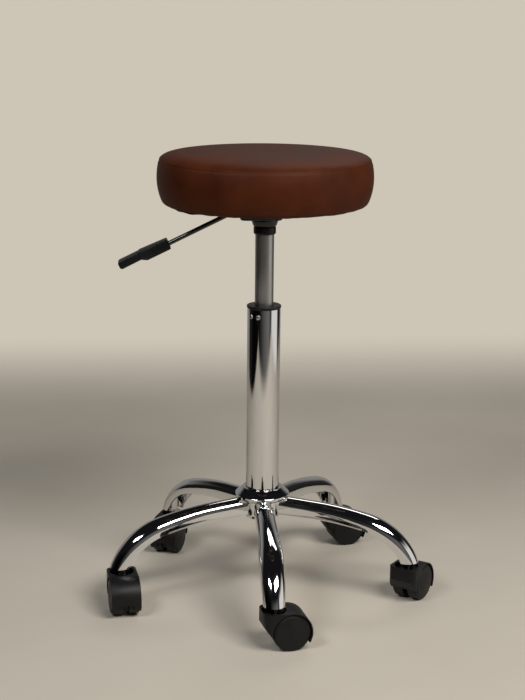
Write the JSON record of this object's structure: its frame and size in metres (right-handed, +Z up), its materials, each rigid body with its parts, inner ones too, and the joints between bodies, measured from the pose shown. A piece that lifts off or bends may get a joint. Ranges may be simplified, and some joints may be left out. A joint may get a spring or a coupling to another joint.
{
  "type": "dentist stool",
  "caption": "Round padded seat on a gas-lift column with a release lever and a chromed star base on twin-wheel casters.",
  "frame": {"origin": "on the floor under the column's axis", "axes": "+Z up along the column, -Y along the first leg, the release lever reaches out along -X"},
  "size_m": [0.5048, 0.4677, 0.6819],
  "materials": {
    "chrome": "polished",
    "satin_steel": "satin",
    "bright_steel": "polished",
    "black_steel": "satin",
    "black_nylon": "satin",
    "black_plastic": "satin",
    "black_rubber": "matte",
    "brown_vinyl": "satin",
    "foam": "matte",
    "plywood": "matte",
    "black_cloth": "matte"
  },
  "bodies": {
    "base": {"leg_1": "chrome", "leg_2": "chrome", "leg_3": "chrome", "leg_4": "chrome", "leg_5": "chrome", "stem_sockets": "chrome", "hub_sleeve": "chrome", "hub_collar": "chrome", "column_tube": "chrome", "column_base_plate": "satin_steel", "guide_bush": "black_plastic", "bush_rivets": "bright_steel", "caster_stems": "bright_steel", "stem_grip_rings": "bright_steel"},
    "rod": {"piston_rod": "bright_steel", "piston": "black_plastic", "rod_clip": "bright_steel", "thrust_washers": "bright_steel", "bearing_balls": "bright_steel", "bump_stop": "black_rubber"},
    "seat": {"gas_cylinder": "satin_steel", "cylinder_seal": "black_rubber", "valve_body": "black_plastic", "stop_collar": "black_plastic", "taper_socket": "black_steel", "mechanism_housing": "black_steel", "lever_pivot_pin": "bright_steel", "seat_plate": "black_steel", "plate_screws": "bright_steel", "t_nuts": "bright_steel", "seat_board": "plywood", "seat_foam": "foam", "seat_cover": "brown_vinyl", "dust_cover": "black_cloth", "staples": "bright_steel"},
    "valve": {"valve_pin": "bright_steel"},
    "lever": {"lever_rod": "black_steel", "lever_grip": "black_plastic"},
    "caster_1": {"caster_hood_1": "black_nylon", "caster_axle_1": "bright_steel"},
    "left_wheel_1": {"wheel_left_1": "black_nylon"},
    "right_wheel_1": {"wheel_right_1": "black_nylon"},
    "caster_2": {"caster_hood_2": "black_nylon", "caster_axle_2": "bright_steel"},
    "left_wheel_2": {"wheel_left_2": "black_nylon"},
    "right_wheel_2": {"wheel_right_2": "black_nylon"},
    "caster_3": {"caster_hood_3": "black_nylon", "caster_axle_3": "bright_steel"},
    "left_wheel_3": {"wheel_left_3": "black_nylon"},
    "right_wheel_3": {"wheel_right_3": "black_nylon"},
    "caster_4": {"caster_hood_4": "black_nylon", "caster_axle_4": "bright_steel"},
    "left_wheel_4": {"wheel_left_4": "black_nylon"},
    "right_wheel_4": {"wheel_right_4": "black_nylon"},
    "caster_5": {"caster_hood_5": "black_nylon", "caster_axle_5": "bright_steel"},
    "left_wheel_5": {"wheel_left_5": "black_nylon"},
    "right_wheel_5": {"wheel_right_5": "black_nylon"}
  },
  "joints": [
    {"name": "seat_spin", "type": "hinge", "parent": "base", "child": "rod", "pos_m": [0, 0, 0.124], "axis": [0, 0, 1], "continuous": true},
    {"name": "seat_lift", "type": "slide", "parent": "rod", "child": "seat", "axis": [0, 0, 1], "range_m": [-0.105, 0.085]},
    {"name": "lever_lift", "type": "hinge", "parent": "seat", "child": "lever", "pos_m": [-0.033, 0, 0.59193], "axis": [0, 1, 0], "range_deg": [0, 5.5], "stiffness_Nm_per_rad": 5, "springref_deg": -5.73},
    {"name": "valve_press", "type": "slide", "parent": "seat", "child": "valve", "axis": [0, 0, -1], "range_m": [0, 0.0035]},
    {"name": "swivel_1", "type": "hinge", "parent": "base", "child": "caster_1", "pos_m": [0, -0.2275, 0.058], "axis": [0, 0, 1], "continuous": true},
    {"name": "left_roll_1", "type": "hinge", "parent": "caster_1", "child": "left_wheel_1", "pos_m": [0.02164, -0.22353, 0.0275], "axis": [-0.1805, 0.9836, 0], "continuous": true},
    {"name": "right_roll_1", "type": "hinge", "parent": "caster_1", "child": "right_wheel_1", "pos_m": [0.02164, -0.22353, 0.0275], "axis": [-0.1805, 0.9836, 0], "continuous": true},
    {"name": "swivel_2", "type": "hinge", "parent": "base", "child": "caster_2", "pos_m": [0.21637, -0.0703, 0.058], "axis": [0, 0, 1], "continuous": true},
    {"name": "left_roll_2", "type": "hinge", "parent": "caster_2", "child": "left_wheel_2", "pos_m": [0.22948, -0.05264, 0.0275], "axis": [-0.8028, 0.5962, 0], "continuous": true},
    {"name": "right_roll_2", "type": "hinge", "parent": "caster_2", "child": "right_wheel_2", "pos_m": [0.22948, -0.05264, 0.0275], "axis": [-0.8028, 0.5962, 0], "continuous": true},
    {"name": "swivel_3", "type": "hinge", "parent": "base", "child": "caster_3", "pos_m": [0.13372, 0.18405, 0.058], "axis": [0, 0, 1], "continuous": true},
    {"name": "left_roll_3", "type": "hinge", "parent": "caster_3", "child": "left_wheel_3", "pos_m": [0.15521, 0.18878, 0.0275], "axis": [-0.2147, 0.9767, 0], "continuous": true},
    {"name": "right_roll_3", "type": "hinge", "parent": "caster_3", "child": "right_wheel_3", "pos_m": [0.15521, 0.18878, 0.0275], "axis": [-0.2147, 0.9767, 0], "continuous": true},
    {"name": "swivel_4", "type": "hinge", "parent": "base", "child": "caster_4", "pos_m": [-0.13372, 0.18405, 0.058], "axis": [0, 0, 1], "continuous": true},
    {"name": "left_roll_4", "type": "hinge", "parent": "caster_4", "child": "left_wheel_4", "pos_m": [-0.14146, 0.16346, 0.0275], "axis": [0.9361, -0.3518, 0], "continuous": true},
    {"name": "right_roll_4", "type": "hinge", "parent": "caster_4", "child": "right_wheel_4", "pos_m": [-0.14146, 0.16346, 0.0275], "axis": [0.9361, -0.3518, 0], "continuous": true},
    {"name": "swivel_5", "type": "hinge", "parent": "base", "child": "caster_5", "pos_m": [-0.21637, -0.0703, 0.058], "axis": [0, 0, 1], "continuous": true},
    {"name": "left_roll_5", "type": "hinge", "parent": "caster_5", "child": "left_wheel_5", "pos_m": [-0.21315, -0.09206, 0.0275], "axis": [0.9893, 0.1461, 0], "continuous": true},
    {"name": "right_roll_5", "type": "hinge", "parent": "caster_5", "child": "right_wheel_5", "pos_m": [-0.21315, -0.09206, 0.0275], "axis": [0.9893, 0.1461, 0], "continuous": true}
  ],
  "couplings": [
    {"joint": "valve_press", "follows": "lever_lift", "m_per_rad": 0.0345}
  ]
}
